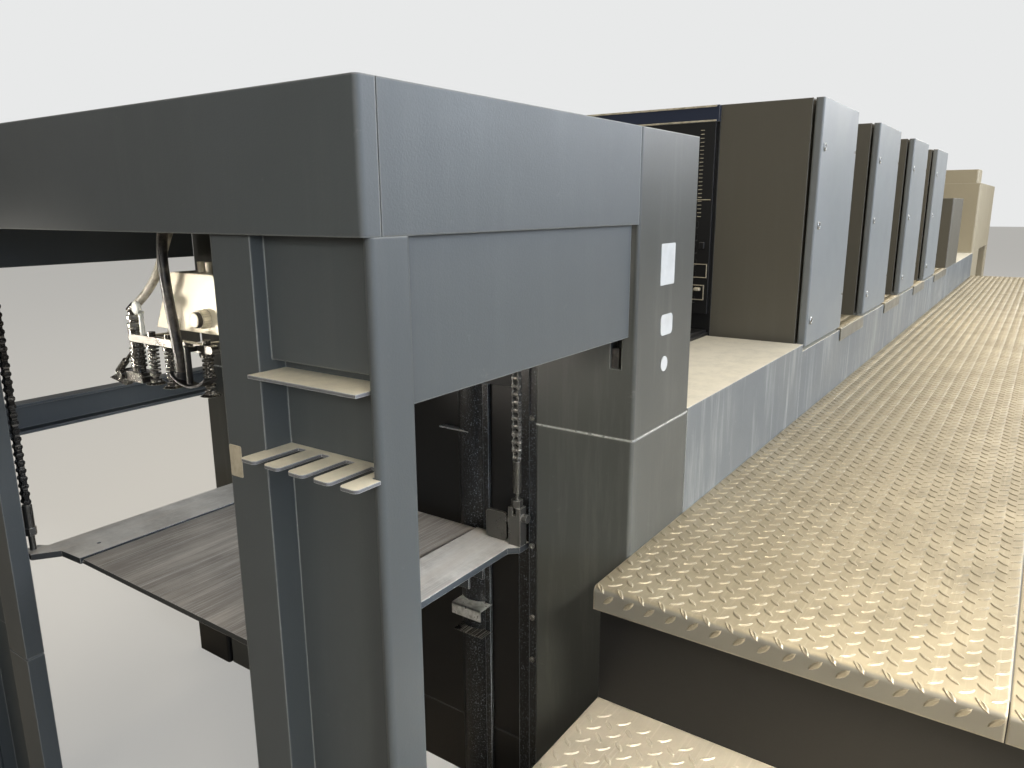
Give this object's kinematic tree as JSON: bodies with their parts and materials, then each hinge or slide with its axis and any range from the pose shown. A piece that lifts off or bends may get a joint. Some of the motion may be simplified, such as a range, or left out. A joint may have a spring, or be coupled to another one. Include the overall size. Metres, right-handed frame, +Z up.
{
  "type": "offset printing press",
  "caption": "Sheet-fed offset press: chain-hung pile feeder, printing units with hinged drive-side doors, delivery and side galleries.",
  "frame": {"origin": "middle of the press's outline on the floor", "axes": "+X the way the sheet travels, from feeder to delivery; +Y the operator side; +Z up"},
  "size_m": [11.033, 3.21, 1.908],
  "materials": {
    "feeder_paint": "satin, lightly textured",
    "cabinet_paint": "satin",
    "door_paint": "satin",
    "ledge_paint": "worn satin",
    "black_paint": "satin",
    "navy_paint": "satin",
    "beige_paint": "satin",
    "plate_steel": "scratched",
    "machine_steel": "oiled",
    "chain_steel": "oiled",
    "shelf_steel": "worn",
    "sucker_metal": "polished",
    "cream_enamel": "gloss",
    "hose_rubber": "matt",
    "hose_vinyl": "satin",
    "tread_aluminium": "worn"
  },
  "bodies": {
    "root": {"hood_fascia": "feeder_paint", "hood_sides": "feeder_paint", "hood_top": "feeder_paint", "feeder_bridge": "feeder_paint", "side_panels": "feeder_paint", "operator_rail": "feeder_paint", "tool_column": "feeder_paint", "operator_column": "feeder_paint", "column_bases": "feeder_paint", "tool_shelf": "shelf_steel", "tool_rack": "shelf_steel", "front_columns": "feeder_paint", "front_column_bases": "feeder_paint", "pile_front_wall": "black_paint", "pile_guides": "black_paint", "hoist_shafts": "machine_steel", "lift_chains": "chain_steel", "front_lift_chains": "chain_steel", "suction_head": "cream_enamel", "head_rails": "machine_steel", "sucker_bar": "machine_steel", "suckers": "sucker_metal", "presser_foot": "black_paint", "foot_hose": "hose_rubber", "sucker_hose": "hose_vinyl", "feed_table": "black_paint", "ledges": "ledge_paint", "plinths": "ledge_paint", "unit_steps": "tread_aluminium", "unit_body_1": "black_paint", "unit_body_2": "black_paint", "unit_body_3": "black_paint", "unit_body_4": "black_paint", "unit_guards": "black_paint", "unit_beams": "navy_paint", "drive_cabinet_1": "cabinet_paint", "drive_cabinet_2": "cabinet_paint", "drive_cabinet_3": "cabinet_paint", "drive_cabinet_4": "cabinet_paint", "operator_cabinets": "cabinet_paint", "low_cabinets": "cabinet_paint", "delivery_extension": "black_paint", "delivery_base": "beige_paint", "delivery_housing": "beige_paint", "delivery_top_box": "beige_paint", "delivery_posts": "beige_paint", "drive_deck": "tread_aluminium", "drive_deck_edge": "tread_aluminium", "drive_deck_frame": "black_paint", "operator_deck": "tread_aluminium", "operator_deck_frame": "black_paint", "drive_steps": "tread_aluminium", "operator_steps": "tread_aluminium", "step_boxes": "black_paint"},
    "pile_lift": {"pile_plate": "plate_steel", "lift_lugs": "machine_steel"},
    "door_1": {"drive_door_1": "door_paint"},
    "door_2": {"drive_door_2": "door_paint"},
    "door_3": {"drive_door_3": "door_paint"},
    "door_4": {"drive_door_4": "door_paint"}
  },
  "joints": [
    {"name": "pile_hoist", "type": "slide", "parent": "root", "child": "pile_lift", "axis": [0, 0, 1], "range_m": [-0.65, 0.34], "deforming": ["lift_chains", "front_lift_chains"]},
    {"name": "cabinet_door_1", "type": "hinge", "parent": "root", "child": "door_1", "pos_m": [-2.8215, -0.745, 1.475], "axis": [0, 0, 1], "range_deg": [0, 110]},
    {"name": "cabinet_door_2", "type": "hinge", "parent": "root", "child": "door_2", "pos_m": [-1.8175, -0.745, 1.475], "axis": [0, 0, 1], "range_deg": [0, 110]},
    {"name": "cabinet_door_3", "type": "hinge", "parent": "root", "child": "door_3", "pos_m": [-0.8135, -0.745, 1.475], "axis": [0, 0, 1], "range_deg": [0, 110]},
    {"name": "cabinet_door_4", "type": "hinge", "parent": "root", "child": "door_4", "pos_m": [0.1905, -0.745, 1.475], "axis": [0, 0, 1], "range_deg": [0, 110]}
  ]
}
